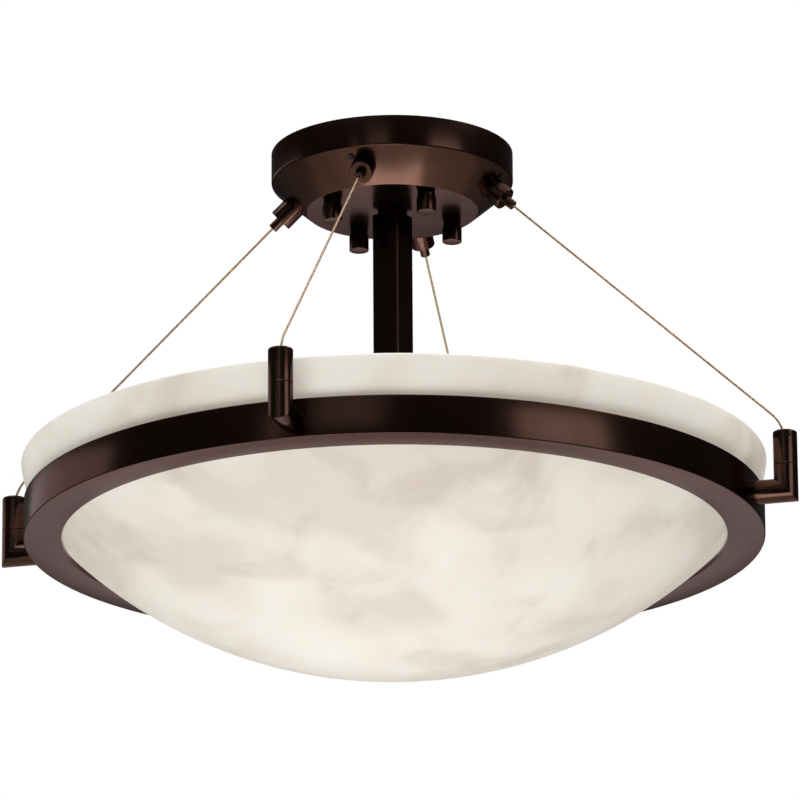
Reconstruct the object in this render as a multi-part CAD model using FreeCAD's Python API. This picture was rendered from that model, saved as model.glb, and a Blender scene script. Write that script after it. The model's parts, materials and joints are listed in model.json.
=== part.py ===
"""Semi flush ceiling light: a stone bowl in an L-section metal ring, hung on four steel cables.

Millimetres.  The ceiling is the plane z = 0 and the light hangs below it, round the Z axis.
The four ring posts stand on the X and Y axes; the thumb nuts and studs sit midway between them.
Pieces that repeat on the four sides are drawn once on the +X side and turned round Z.
"""
import FreeCAD
import Part

import math
import os

Vector = FreeCAD.Vector
UP = Vector(0, 0, 1)
DOWN = Vector(0, 0, -1)
CENTRE = Vector(0, 0, 0)
HEXAGON_SIDES = 6
MITRE_ANGLE = 45.0
CUBIC_MM_PER_CM = 1000
MATCH = 0.0001

# ---------------------------------------------------------------- driving dimensions
# canopy: a drawn steel pan with a straight wall, a sloping shoulder and a flat face
canopy_radius = 81.1
canopy_wall_height = 20.5
canopy_face_radius = 57.5
canopy_depth = 40.5
canopy_gauge = 1.5
canopy_shoulder_round = 2.0
canopy_face_round = 1.0

# plate that is screwed to the ceiling box: round holes fit a large box, slots a small one
plate_radius = 56.0
plate_gauge = 2.0
plate_centre_hole_radius = 14.0
box_hole_spacing = 88.9
box_hole_radius = 2.5
box_slot_spacing = 69.9
box_slot_length = 12.0

# four studs that carry the canopy, each with a hex nut and a thumb nut
stud_circle_radius = 46.0
stud_radius = 2.08
stud_nut_flats = 8.7
stud_nut_height = 3.2
thumb_nut_neck_radius = 5.85
thumb_nut_neck_height = 3.2
thumb_nut_radius = 6.55
thumb_nut_height = 10.6
thumb_nut_bore_depth = 9.0
stud_end_gap = 1.0
thumb_nut_chamfer = 0.4

# stem: square tube with a plug in each end, on threaded nipples
stem_width = 20.0
stem_wall = 1.5
stem_corner_radius = 1.0
stem_turn = -16.5
stem_plug_length = 12.0
nipple_radius = 4.85
nipple_bore_radius = 3.4
nipple_overrun = 1.0
collar_radius = 9.85
collar_height = 3.0
stem_washer_radius = 9.0
stem_washer_gauge = 1.0
stem_nut_flats = 15.0
stem_nut_height = 4.0

# lamp cluster under the stem: a cup with a lid, three sockets and three bulbs
hub_radius = 32.0
hub_height = 32.0
hub_gauge = 1.5
hub_lid_lip = 6.0
finial_radius = 7.0
finial_tip_radius = 4.2
finial_height = 9.0
finial_taper = 3.5
finial_bore_depth = 6.5
lamp_axis_drop = 34.0
socket_radius = 18.0
socket_neck_radius = 13.0
socket_neck_length = 7.0
socket_shoulder_length = 12.0
socket_length = 44.0
socket_lip_radius = 20.0
socket_lip_length = 4.0
socket_shank_radius = 5.0
socket_wire_hole_radius = 2.0
socket_nut_flats = 13.0
socket_nut_height = 2.5
socket_seat_depth = 2.0
bulb_base_radius = 13.1
bulb_base_length = 24.0
bulb_base_end_radius = 10.1
bulb_base_end_height = 1.0
bulb_thread_crests = 5
bulb_thread_depth = 0.35
bulb_contact_radius = 5.0
bulb_contact_height = 2.0
bulb_radius = 30.0
bulb_neck_radius = 14.5
bulb_neck_length = 8.0
bulb_centre_reach = 52.0
bulb_wall = 1.2
bulb_stand_off = 1.0

# ring: L section, with an outer wall and an inner flange that the bowl sits in
ring_radius = 245.0
ring_height = 25.6
ring_wall = 3.0
ring_flange_width = 25.0
ring_flange_gauge = 3.0
ring_edge_round = 0.6
ring_drop = 244.8

# bowl: a spherical dome with a shoulder that turns up to the rim
bowl_dome_radius = 318.5
bowl_shoulder_radius = 72.0
bowl_overhang = 2.4
bowl_rim_height = 27.0
bowl_wall = 6.0
bowl_rim_round = 1.5
gasket_gauge = 1.5
gasket_width = 8.0

# posts on the ring: a mitred elbow of round bar and a screwed cap that holds the cable
post_bar_radius = 7.95
post_reach = 20.1
post_height = 39.8
post_cap_height = 23.0
post_cap_top_wall = 10.0
post_cap_round = 1.2
post_cap_bore_radius = 4.9
post_spigot_length = 6.0
post_seam_chamfer = 0.35
cap_screw_radius = 1.1
cap_screw_depth = 3.0
cap_screw_recess = 0.4
cap_screw_drop = 4.0
cap_screw_key_depth = 1.0
cap_screws_turned = {"front": 150.0, "right": -58.0, "back": 130.0, "left": 68.0}
elbow_screw_radius = 2.5
elbow_screw_reach = 11.0
elbow_screw_bore_spare = 1.0
elbow_screw_head_radius = 4.6
elbow_screw_head_top_radius = 2.8
elbow_screw_head_height = 2.6
elbow_screw_head_edge = 1.0
elbow_screw_key_flats = 3.0
elbow_screw_key_depth = 1.3

# suspension cable, its route into the cap and the ferrule that stops it there
cable_radius = 0.8
bend_share = 0.45
cable_entry_turn = 23.4
cable_entry_run = 11.6
cable_low_corner_rise = 8.4
cap_mouth_radius = 2.6
cap_mouth_depth = 4.5
cable_hole_radius = 1.3
ferrule_radius = 2.6
ferrule_length = 5.5
ferrule_chamfer = 0.4

# cable grips on the canopy shoulder: body, spring-loaded nose, nut, and a wedge washer that a
# small screw beside the grip holds
grip_radius = 7.95
grip_length = 12.4
grip_chamfer = 0.5
grip_shank_radius = 4.75
grip_shank_length = 11.0
grip_nose_radius = 3.2
grip_nose_length = 7.5
grip_nose_root_length = 6.6
grip_nose_travel = 2.5
grip_spring_room = 3.0
grip_nut_flats = 14.0
grip_nut_height = 4.5
grip_skirt_depth = 8.0
grip_washer_radius = 14.0
grip_washer_gauge = 3.2
grip_screw_reach = 10.8
grip_screw_radius = 1.25
grip_screw_length = 6.0
grip_screw_head_radius = 2.15
grip_screw_head_height = 1.3
grip_screw_head_round = 0.4
grip_screw_key_flats = 1.5
grip_screw_key_depth = 0.8
grip_screws_turned = {"front": 44.0, "right": 27.0, "back": 44.0, "left": 44.0}
cable_tail_length = 20.0

# wiring inside the canopy
lead_radius = 1.15
lead_rise = 13.0
lead_reach = 1.5
connector_radius = 5.2
connector_tip_radius = 3.4
connector_length = 20.0
connector_reach = 15.0
ground_screw_radius = 1.9
ground_screw_head_radius = 4.0
ground_screw_head_height = 2.4
ground_screw_drive = 1.0
ground_screw_circle_radius = 40.0
ground_screw_azimuth = 60.0

# clearances between pieces that fit into each other
running_clearance = 0.05
socket_clearance = 0.2
thread_clearance = 0.02
hole_clearance = 0.25
cable_clearance = 0.2
bowl_clearance = 0.5
seat_gap = 0.35

SIDES = {"front": -90.0, "right": 0.0, "back": 90.0, "left": 180.0}
CORNERS = {"front_right": -45.0, "back_right": 45.0, "back_left": 135.0, "front_left": -135.0}
LAMPS = {"front": -90.0, "right": 30.0, "left": 150.0}

# ---------------------------------------------------------------- levels and places worked out
face_z = -canopy_depth
inner_face_z = face_z + canopy_gauge
ring_top_z = -ring_drop
ring_bottom_z = ring_top_z - ring_height
flange_top_z = ring_bottom_z + ring_flange_gauge
flange_inner_radius = ring_radius - ring_flange_width
ring_inner_radius = ring_radius - ring_wall
rim_z = ring_top_z + bowl_rim_height
lamp_z = rim_z - lamp_axis_drop
hub_top_z = lamp_z + hub_height / 2
hub_bottom_z = hub_top_z - hub_height
finial_seat_z = hub_bottom_z - hub_gauge
socket_start = hub_radius - socket_seat_depth
bulb_start = socket_start + socket_length + bulb_stand_off
socket_mouth_depth = bulb_base_length + bulb_contact_height - bulb_stand_off
stem_top_z = face_z - collar_height
stem_bottom_z = hub_top_z
post_radius = ring_radius + post_reach
arm_z = (ring_top_z + ring_bottom_z) / 2
post_top_z = arm_z + post_height
seam_z = post_top_z - post_cap_height
cap_roof_z = post_top_z - post_cap_top_wall
cap_screw_z = post_top_z - cap_screw_drop
lead_knee_z = inner_face_z + stem_washer_gauge + stem_nut_height + nipple_overrun + lead_rise

seat_radius = flange_inner_radius - bowl_clearance
dome_centre_z = flange_top_z + math.sqrt(bowl_dome_radius**2 - seat_radius**2)
bowl_widest_radius = ring_radius + bowl_overhang
shoulder_ratio = bowl_shoulder_radius / bowl_dome_radius
blend_radius = (bowl_widest_radius - bowl_shoulder_radius) / (1 - shoulder_ratio)
blend_angle = math.asin(blend_radius / bowl_dome_radius)
shoulder_centre_radius = bowl_widest_radius - bowl_shoulder_radius
shoulder_centre_z = dome_centre_z - (bowl_dome_radius - bowl_shoulder_radius) * math.cos(blend_angle)


def radial(radius, z):
    """A point in the plane through the Z axis and +X."""
    return Vector(radius, 0, z)


cable_end = radial(post_radius, cap_roof_z)
cable_bend_low = cable_end + UP * cable_low_corner_rise
entry_tilt = math.radians(cable_entry_turn)
cable_bend_high = cable_bend_low + radial(-math.sin(entry_tilt), math.cos(entry_tilt)) * cable_entry_run
grip_root = radial(
    (canopy_radius + canopy_face_radius) / 2,
    -(canopy_wall_height + canopy_depth) / 2,
)
grip_axis = (cable_bend_high - grip_root).normalize()
nose_tip = grip_root + grip_axis * (grip_length + grip_nose_length)
shoulder_up = radial(canopy_radius - canopy_face_radius, canopy_depth - canopy_wall_height).normalize()
shoulder_out = radial(shoulder_up.z, -shoulder_up.x)


# ---------------------------------------------------------------- drawing helpers
def lathe(edges):
    """Solid of revolution round Z of a closed outline drawn in the XZ plane."""
    return Part.Face(Part.Wire(edges)).revolve(CENTRE, UP, 360)


def line(start, end):
    return Part.LineSegment(start, end).toShape()


def arc(centre, radius, angle_from, angle_to):
    """Arc in the XZ plane; angles in radians from +X towards +Z."""
    steps = [angle_from, (angle_from + angle_to) / 2, angle_to]
    ends = [centre + radial(math.cos(a), math.sin(a)) * radius for a in steps]
    return Part.Arc(*ends).toShape()


def turned(outline):
    """Solid of revolution from (radius, z) corners joined by straight lines."""
    points = [radial(r, z) for r, z in outline]
    return lathe([line(a, b) for a, b in zip(points, points[1:] + points[:1])])


def cylinder(radius, z_from, z_to):
    return Part.makeCylinder(radius, z_to - z_from, Vector(0, 0, z_from))


def pipe_section(outer, inner, z_from, z_to):
    return cylinder(outer, z_from, z_to).cut(cylinder(inner, z_from, z_to))


def rod(radius, start, end):
    return Part.makeCylinder(radius, (end - start).Length, start, end - start)


def hexagon_corner(flats):
    """Radius to the corners of a hexagon from its size across the flats."""
    return flats / 2 / math.cos(math.pi / HEXAGON_SIDES)


def hex_bar(flats, height):
    """Hexagon bar that stands on z = 0."""
    corner = hexagon_corner(flats)
    angles = [math.tau * k / HEXAGON_SIDES for k in range(HEXAGON_SIDES + 1)]
    corners = [Vector(corner * math.cos(a), corner * math.sin(a), 0) for a in angles]
    return Part.Face(Part.makePolygon(corners)).extrude(UP * height)


def hex_nut(flats, height, bore):
    """Hexagon nut with bevelled corners that stands on z = 0."""
    corner = hexagon_corner(flats)
    bevel = (corner - flats / 2) / 2
    crown = turned([(0, 0), (flats / 2, 0), (corner, bevel), (corner, height - bevel),
                    (flats / 2, height), (0, height)])
    return hex_bar(flats, height).common(crown).cut(cylinder(bore, 0, height))


def aimed(shape, start, direction):
    """A shape drawn along +Z from the origin, moved to start and turned along direction."""
    moved = shape.copy()
    moved.Placement = FreeCAD.Placement(start, FreeCAD.Rotation(UP, direction)) * shape.Placement
    return moved


def at_azimuth(shape, azimuth):
    turned_copy = shape.copy()
    turned_copy.rotate(CENTRE, UP, azimuth)
    return turned_copy


def on_every(places, shape):
    """Copies of a shape drawn on the +X side, one at each named azimuth."""
    return [at_azimuth(shape, azimuth) for azimuth in places.values()]


def circular(shape):
    """The circular edges of a shape, without the points where a seam meets a pole."""
    return [e for e in shape.Edges if not e.Degenerated and isinstance(e.Curve, Part.Circle)]


def same(one, other):
    return abs(one - other) < MATCH


def circle_edges(shape, radius, z):
    """The circular edges round Z with this radius at this height."""
    return [e for e in circular(shape)
            if same(e.Curve.Radius, radius) and same(e.Curve.Center.z, z)
            and same(math.hypot(e.Curve.Center.x, e.Curve.Center.y), 0)]


def inset(points, depth):
    """Corners of the line that runs depth inside an open outline of (radius, z) corners.

    The outline starts on the rim and ends on the axis, and its inside is on the left of its run.
    """
    sides = []
    for (r0, z0), (r1, z1) in zip(points, points[1:]):
        length = math.hypot(r1 - r0, z1 - z0)
        nr, nz = (z1 - z0) / length, -(r1 - r0) / length
        sides.append((nr, nz, nr * r0 + nz * z0 + depth))
    moved = []
    for (a, b, c), (d, e, f) in zip(sides, sides[1:]):
        det = a * e - b * d
        moved.append(((c * e - b * f) / det, (a * f - c * d) / det))
    first = sides[0]
    start = ((first[2] - first[1] * points[0][1]) / first[0], points[0][1])
    last = sides[-1]
    end = (0.0, last[2] / last[1])
    return [start] + moved + [end]


# ---------------------------------------------------------------- canopy
canopy_outline = [(canopy_radius, 0), (canopy_radius, -canopy_wall_height),
                  (canopy_face_radius, face_z), (0, face_z)]


def canopy_outside():
    body = turned(canopy_outline + [(0, 0)])
    body = body.makeFillet(canopy_shoulder_round, circle_edges(body, canopy_radius, -canopy_wall_height))
    return body.makeFillet(canopy_face_round, circle_edges(body, canopy_face_radius, face_z))


def canopy_inside():
    return turned(inset(canopy_outline, canopy_gauge) + [(0, 0)])


def canopy_pan():
    pan = canopy_outside().cut(canopy_inside())
    holes = [cylinder(nipple_radius + hole_clearance, face_z, inner_face_z)]
    stud_hole = Part.makeCylinder(
        stud_radius + hole_clearance, canopy_gauge, radial(stud_circle_radius, face_z))
    holes += on_every(CORNERS, stud_hole)
    grip_hole = rod(grip_shank_radius + hole_clearance,
                    grip_root - grip_axis * grip_shank_length,
                    grip_root + grip_axis * grip_length)
    holes += on_every(SIDES, grip_hole)
    return pan.cut(holes + grip_screw_rods(grip_screw_radius + hole_clearance, grip_screw_length))


# ---------------------------------------------------------------- ceiling plate and studs
def plate_hole(radius, distance):
    """A hole through the plate, drawn on the +X side."""
    return Part.makeCylinder(radius, plate_gauge, radial(distance, -plate_gauge))


def box_slot():
    """A slot through the plate that runs outwards along +X."""
    half = box_slot_length / 2 - box_hole_radius
    middle = box_slot_spacing / 2
    straight = Part.makeBox(2 * half, 2 * box_hole_radius, plate_gauge,
                            Vector(middle - half, -box_hole_radius, -plate_gauge))
    ends = [plate_hole(box_hole_radius, middle + s * half) for s in (-1, 1)]
    return straight.fuse(ends).removeSplitter()


def ceiling_plate():
    plate = pipe_section(plate_radius, plate_centre_hole_radius, -plate_gauge, 0)
    holes = on_every(CORNERS, plate_hole(stud_radius + thread_clearance, stud_circle_radius))
    for side in ("left", "right"):
        holes.append(at_azimuth(plate_hole(box_hole_radius, box_hole_spacing / 2), SIDES[side]))
    for side in ("front", "back"):
        holes.append(at_azimuth(box_slot(), SIDES[side]))
    ground_hole = plate_hole(ground_screw_radius + thread_clearance, ground_screw_circle_radius)
    holes.append(at_azimuth(ground_hole, ground_screw_azimuth))
    return plate.cut(holes)


def studs():
    end_z = face_z - thumb_nut_bore_depth + stud_end_gap
    stud = Part.makeCylinder(stud_radius, -end_z, radial(stud_circle_radius, end_z))
    return on_every(CORNERS, stud)


def stud_nuts():
    nut = hex_nut(stud_nut_flats, stud_nut_height, stud_radius + thread_clearance)
    nut.translate(radial(stud_circle_radius, -plate_gauge - stud_nut_height))
    return on_every(CORNERS, nut)


def thumb_nut():
    neck_z = face_z - thumb_nut_neck_height
    end_z = neck_z - thumb_nut_height
    c = thumb_nut_chamfer
    body = turned([(0, face_z), (thumb_nut_neck_radius, face_z), (thumb_nut_neck_radius, neck_z),
                   (thumb_nut_radius - c, neck_z), (thumb_nut_radius, neck_z - c),
                   (thumb_nut_radius, end_z + c), (thumb_nut_radius - c, end_z), (0, end_z)])
    body = body.cut(cylinder(stud_radius + running_clearance, face_z - thumb_nut_bore_depth, face_z))
    body.translate(radial(stud_circle_radius, 0))
    return body


# ---------------------------------------------------------------- stem
def square_bar(width, z_from, z_to, corner):
    bar = Part.makeBox(width, width, z_to - z_from, Vector(-width / 2, -width / 2, z_from))
    if corner > 0:
        upright = [e for e in bar.Edges if same(abs(e.tangentAt(e.FirstParameter).z), 1)]
        bar = bar.makeFillet(corner, upright)
    return at_azimuth(bar, stem_turn)


def stem_tube():
    inner = stem_width - 2 * stem_wall
    outside = square_bar(stem_width, stem_bottom_z, stem_top_z, stem_corner_radius)
    return outside.cut(square_bar(inner, stem_bottom_z, stem_top_z, 0))


def stem_plugs():
    """Square plugs in both ends of the tube, tapped for the nipples."""
    width = stem_width - 2 * stem_wall - 2 * thread_clearance
    plugs = []
    for z_from in (stem_top_z - stem_plug_length, stem_bottom_z):
        plug = square_bar(width, z_from, z_from + stem_plug_length, 0)
        bore = cylinder(nipple_radius + thread_clearance, z_from, z_from + stem_plug_length)
        plugs.append(plug.cut(bore))
    return plugs


def nipples():
    """Threaded tubes: one joins canopy and stem, the other joins stem and lamp cluster."""
    upper = pipe_section(nipple_radius, nipple_bore_radius, stem_top_z - stem_plug_length,
                         lead_knee_z - lead_rise)
    lower = pipe_section(nipple_radius, nipple_bore_radius,
                         finial_seat_z - finial_bore_depth + nipple_overrun,
                         stem_bottom_z + stem_plug_length)
    return [upper, lower]


def stem_collar():
    return pipe_section(collar_radius, nipple_radius + hole_clearance, stem_top_z, face_z)


def stem_washer():
    return pipe_section(stem_washer_radius, nipple_radius + hole_clearance,
                        inner_face_z, inner_face_z + stem_washer_gauge)


def stem_nuts():
    """One nut inside the canopy and one inside the cluster cup."""
    nut = hex_nut(stem_nut_flats, stem_nut_height, nipple_radius + thread_clearance)
    upper = nut.copy()
    upper.translate(UP * (inner_face_z + stem_washer_gauge))
    lower = nut.copy()
    lower.translate(UP * (hub_top_z - hub_gauge - stem_nut_height))
    return [upper, lower]


# ---------------------------------------------------------------- lamp cluster
def socket_shank_rod(radius):
    """A rod along +X through the wall of the cup, where a socket's shank goes."""
    return rod(radius, radial(hub_radius / 2, lamp_z), radial(hub_radius, lamp_z))


def hub_cup():
    """Drawn cup under the stem, open at the bottom, with a hole for each socket."""
    cup = cylinder(hub_radius, hub_bottom_z, hub_top_z)
    cup = cup.makeFillet(2 * hub_gauge, circle_edges(cup, hub_radius, hub_top_z))
    hollow = cylinder(hub_radius - hub_gauge, hub_bottom_z, hub_top_z - hub_gauge)
    hollow = hollow.makeFillet(
        hub_gauge, circle_edges(hollow, hub_radius - hub_gauge, hub_top_z - hub_gauge))
    holes = [cylinder(nipple_radius + hole_clearance, hub_top_z - hub_gauge, hub_top_z)]
    holes += on_every(LAMPS, socket_shank_rod(socket_shank_radius + hole_clearance))
    return cup.cut([hollow] + holes)


def hub_lid():
    """Lid that closes the cup, with a lip that centres it inside."""
    bore = nipple_radius + hole_clearance
    lip_radius = hub_radius - hub_gauge - hole_clearance
    lid = pipe_section(hub_radius, bore, finial_seat_z, hub_bottom_z)
    lip = pipe_section(lip_radius, lip_radius - hub_gauge, hub_bottom_z, hub_bottom_z + hub_lid_lip)
    return lid.fuse(lip).removeSplitter()


def hub_finial():
    """Round nut that holds the lid on the lower nipple."""
    top = finial_seat_z
    low = top - finial_height
    knob = turned([(0, top), (finial_radius, top), (finial_radius, low + finial_taper),
                   (finial_tip_radius, low), (0, low)])
    return knob.cut(cylinder(nipple_radius + thread_clearance, top - finial_bore_depth, top))


def laid_out(shape, distance):
    """A shape drawn along +Z, laid on its side at the lamps' height to run out along +X."""
    return aimed(shape, radial(distance, lamp_z), Vector(1, 0, 0))


def lamp_socket():
    """Socket body that lies along +X from the wall of the cup."""
    shank = socket_nut_height + hub_gauge
    seat = socket_length - socket_mouth_depth
    lip = socket_length - socket_lip_length
    mouth_radius = bulb_base_radius + socket_clearance
    body = turned([(0, -shank), (socket_shank_radius, -shank), (socket_shank_radius, 0),
                   (socket_neck_radius, 0), (socket_neck_radius, socket_neck_length),
                   (socket_radius, socket_shoulder_length), (socket_radius, lip),
                   (socket_lip_radius, lip), (socket_lip_radius, socket_length),
                   (mouth_radius, socket_length), (mouth_radius, seat), (0, seat)])
    body = body.cut(cylinder(socket_wire_hole_radius, -shank, seat))
    cup = cylinder(hub_radius, lamp_z - socket_radius, lamp_z + socket_radius)
    return laid_out(body, socket_start).cut(cup.cut(socket_shank_rod(socket_shank_radius)))


def socket_nuts():
    nut = hex_nut(socket_nut_flats, socket_nut_height, socket_shank_radius + thread_clearance)
    start = math.sqrt((hub_radius - hub_gauge)**2 - hexagon_corner(socket_nut_flats)**2)
    return on_every(LAMPS, laid_out(nut, start - socket_nut_height))


def bulb_base():
    """Screw cap of a bulb, with rolled thread rings and a centre contact."""
    low = -bulb_base_length
    shoulder = low + bulb_base_end_height
    pitch = (bulb_base_length - bulb_base_end_height) / (bulb_thread_crests + 1)
    outline = [(0, low - bulb_contact_height), (bulb_contact_radius, low - bulb_contact_height),
               (bulb_contact_radius, low), (bulb_base_end_radius, low)]
    for k in range(bulb_thread_crests):
        z = shoulder + k * pitch
        outline += [(bulb_base_radius - bulb_thread_depth, z), (bulb_base_radius, z + pitch / 2)]
    outline += [(bulb_base_radius, 0), (0, 0)]
    return laid_out(turned(outline), bulb_start)


def bulb_profile(depth):
    """Edges of the glass at a depth inside its surface, drawn along +Z from its neck to its tip."""
    radius = bulb_radius - depth
    neck = bulb_neck_radius - depth
    centre = radial(0, bulb_centre_reach)
    shoulder = radial(neck, bulb_neck_length)
    reach = shoulder - centre
    touch = math.atan2(reach.z, reach.x) + math.acos(radius / reach.Length)
    contact = centre + radial(math.cos(touch), math.sin(touch)) * radius
    root = radial(0, depth)
    foot = radial(neck, depth)
    tip = centre + UP * radius
    return [line(root, foot), line(foot, shoulder), line(shoulder, contact),
            arc(centre, radius, touch, math.pi / 2), line(tip, root)]


def bulb_glass():
    """Hollow glass envelope."""
    return laid_out(lathe(bulb_profile(0)).cut(lathe(bulb_profile(bulb_wall))), bulb_start)


# ---------------------------------------------------------------- ring and bowl
def ring():
    section = turned([(ring_radius, ring_top_z), (ring_radius, ring_bottom_z),
                      (flange_inner_radius, ring_bottom_z), (flange_inner_radius, flange_top_z),
                      (ring_inner_radius, flange_top_z), (ring_inner_radius, ring_top_z)])
    edges = [circle_edges(section, ring_radius, z)[0] for z in (ring_top_z, ring_bottom_z)]
    edges += circle_edges(section, ring_inner_radius, ring_top_z)
    section = section.makeFillet(ring_edge_round, edges)
    screw_hole = rod(elbow_screw_radius + hole_clearance,
                     radial(ring_inner_radius - ring_wall, arm_z), radial(ring_radius, arm_z))
    return section.cut(on_every(SIDES, screw_hole))


def bowl_outer_radius(z):
    """Outer radius of the bowl at a height between its bottom and its rim."""
    blend_z = dome_centre_z - bowl_dome_radius * math.cos(blend_angle)
    if z < blend_z:
        return math.sqrt(bowl_dome_radius**2 - (dome_centre_z - z)**2)
    return shoulder_centre_radius + math.sqrt(bowl_shoulder_radius**2 - (shoulder_centre_z - z)**2)


def bowl():
    dome = radial(0, dome_centre_z)
    shoulder = radial(shoulder_centre_radius, shoulder_centre_z)
    edges = []
    rims = []
    blend = blend_angle - math.pi / 2
    for depth in (0, bowl_wall):
        shoulder_radius = bowl_shoulder_radius - depth
        rim_angle = math.asin((rim_z - shoulder_centre_z) / shoulder_radius)
        edges.append(arc(dome, bowl_dome_radius - depth, -math.pi / 2, blend))
        edges.append(arc(shoulder, shoulder_radius, blend, rim_angle))
        rims.append(shoulder + radial(math.cos(rim_angle), math.sin(rim_angle)) * shoulder_radius)
    bottom = dome - UP * bowl_dome_radius
    outline = Part.__sortEdges__(edges + [line(*rims), line(bottom, bottom + UP * bowl_wall)])
    shell = lathe(outline)
    rim_edges = [circle_edges(shell, rim.x, rim_z)[0] for rim in rims]
    return shell.makeFillet(bowl_rim_round, rim_edges)


def bowl_gasket():
    """Soft strip on the flange that the bowl rests on."""
    inner = bowl_outer_radius(flange_top_z + gasket_gauge) + seat_gap
    return pipe_section(inner + gasket_width, inner, flange_top_z, flange_top_z + gasket_gauge)


# ---------------------------------------------------------------- posts
def post_elbow():
    """Mitred elbow of round bar: an arm from the ring wall and an upright with a spigot."""
    corner = radial(post_radius, arm_z)
    r = post_bar_radius
    far = post_radius + r
    arm = rod(r, radial(ring_radius - ring_wall, arm_z), radial(far, arm_z))
    upright = rod(r, radial(post_radius, arm_z - r), radial(post_radius, seam_z))
    upright = upright.makeChamfer(post_seam_chamfer, seam_edges(upright))
    block = 2 * (post_height + post_reach + post_bar_radius)
    inside = Part.makeBox(block, block, block, Vector(-block, -block / 2, -block / 2))
    inside = aimed(inside, corner, Vector(0, 0, 1))
    inside.rotate(corner, Vector(0, 1, 0), MITRE_ANGLE)
    arm = arm.common(inside)
    upright = upright.cut(inside)
    elbow = arm.fuse(upright).cut(cylinder(ring_radius, ring_bottom_z, ring_top_z))
    spigot = rod(post_cap_bore_radius - running_clearance,
                 radial(post_radius, arm_z), radial(post_radius, seam_z + post_spigot_length))
    tapped = rod(elbow_screw_radius + thread_clearance, radial(ring_inner_radius, arm_z),
                 radial(ring_inner_radius + elbow_screw_reach + elbow_screw_bore_spare, arm_z))
    return elbow.fuse(spigot).cut(tapped).removeSplitter()


def seam_edges(shape):
    """Circular edges of the post bar that lie in the plane of the seam."""
    return [e for e in circular(shape)
            if same(e.Curve.Center.z, seam_z) and same(e.Curve.Radius, post_bar_radius)]


def elbow_screws():
    """Round-head screws from inside the ring into the arms."""
    top = -elbow_screw_head_height
    head = turned([(0, top), (elbow_screw_head_top_radius, top),
                   (elbow_screw_head_radius, -elbow_screw_head_edge), (elbow_screw_head_radius, 0), (0, 0)])
    key = hex_bar(elbow_screw_key_flats, elbow_screw_key_depth)
    key.translate(UP * top)
    screw = head.fuse(cylinder(elbow_screw_radius, 0, elbow_screw_reach)).cut(key)
    seat = math.sqrt(ring_inner_radius**2 - elbow_screw_head_radius**2)
    laid = aimed(screw.removeSplitter(), radial(seat, arm_z), Vector(1, 0, 0))
    return on_every(SIDES, laid)


def cap_screw_direction(side):
    angle = math.radians(cap_screws_turned[side])
    return Vector(math.cos(angle), math.sin(angle), 0)


def post_cap(side):
    """Screwed cap of a post: the cable enters through its roof and a set screw locks it."""
    cap = rod(post_bar_radius, radial(post_radius, seam_z), radial(post_radius, post_top_z))
    cap = cap.makeChamfer(post_seam_chamfer, seam_edges(cap))
    top = [e for e in circular(cap) if same(e.Curve.Center.z, post_top_z)]
    cap = cap.makeFillet(post_cap_round, top)
    bore = rod(post_cap_bore_radius, radial(post_radius, seam_z), radial(post_radius, cap_roof_z))
    hole = rod(cable_hole_radius, radial(post_radius, cap_roof_z), radial(post_radius, post_top_z))
    mouth = Part.makeCone(cable_hole_radius, cap_mouth_radius, cap_mouth_depth,
                          radial(post_radius, post_top_z - cap_mouth_depth))
    axis_point = radial(post_radius, cap_screw_z)
    screw_hole = rod(cap_screw_radius + thread_clearance, axis_point,
                     axis_point + cap_screw_direction(side) * post_bar_radius)
    return cap.cut([bore, hole, mouth, screw_hole])


def cap_screws():
    """Set screws with a hexagon socket, just below the surface of the caps."""
    face = post_bar_radius - cap_screw_recess
    screw = cylinder(cap_screw_radius, face - cap_screw_depth, face)
    key = hex_bar(cap_screw_radius, cap_screw_key_depth)
    key.translate(UP * (face - cap_screw_key_depth))
    screw = screw.cut(key)
    laid = []
    for side, azimuth in SIDES.items():
        placed = aimed(screw, radial(post_radius, cap_screw_z), cap_screw_direction(side))
        laid.append(at_azimuth(placed, azimuth))
    return laid


# ---------------------------------------------------------------- cables
def rounded_path(points):
    """Wire of straight runs joined by arcs that touch each run at its bend share from the corner."""
    edges = []
    start = points[0]
    for before, corner, after in zip(points, points[1:], points[2:]):
        into = (corner - before).normalize()
        out = (after - corner).normalize()
        turn = into.getAngle(out)
        setback = bend_share * min((corner - before).Length, (after - corner).Length)
        radius = setback / math.tan(turn / 2)
        print(f"arc radius {radius:.1f} mm, turn {math.degrees(turn):.1f} degrees")
        first = corner - into * setback
        last = corner + out * setback
        middle = corner + (out - into).normalize() * radius * (1 / math.cos(turn / 2) - 1)
        edges += [line(start, first), Part.Arc(first, middle, last).toShape()]
        start = last
    return Part.Wire(edges + [line(start, points[-1])])


def swept(path, radius):
    """Round tube of this radius along a wire of runs and arcs."""
    start = path.OrderedEdges[0]
    heading = start.tangentAt(start.FirstParameter)
    section = Part.Wire(Part.makeCircle(radius, start.valueAt(start.FirstParameter), heading))
    shape = path.makePipeShell([section], True, False)
    solid = shape if shape.ShapeType == "Solid" else shape.Solids[0]
    print(f"tube length {path.Length:.1f} mm, volume / (section x length) "
          f"{solid.Volume / (math.pi * radius**2 * path.Length):.4f}")
    return solid


def cable():
    """Free stretch from the grip's nose, straight and then bent down into the cap, to the ferrule."""
    return swept(rounded_path([nose_tip, cable_bend_high, cable_bend_low, cable_end]), cable_radius)


def cable_tails():
    """The cables' ends inside the grips and the canopy."""
    tail = rod(cable_radius, nose_tip, grip_root - grip_axis * cable_tail_length)
    return on_every(SIDES, tail)


def ferrules():
    """Crimped stops on the cables, under the roofs of the caps."""
    ferrule = rod(ferrule_radius, cable_end + DOWN * ferrule_length, cable_end)
    ferrule = ferrule.makeChamfer(ferrule_chamfer, circular(ferrule))
    return on_every(SIDES, ferrule)


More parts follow.
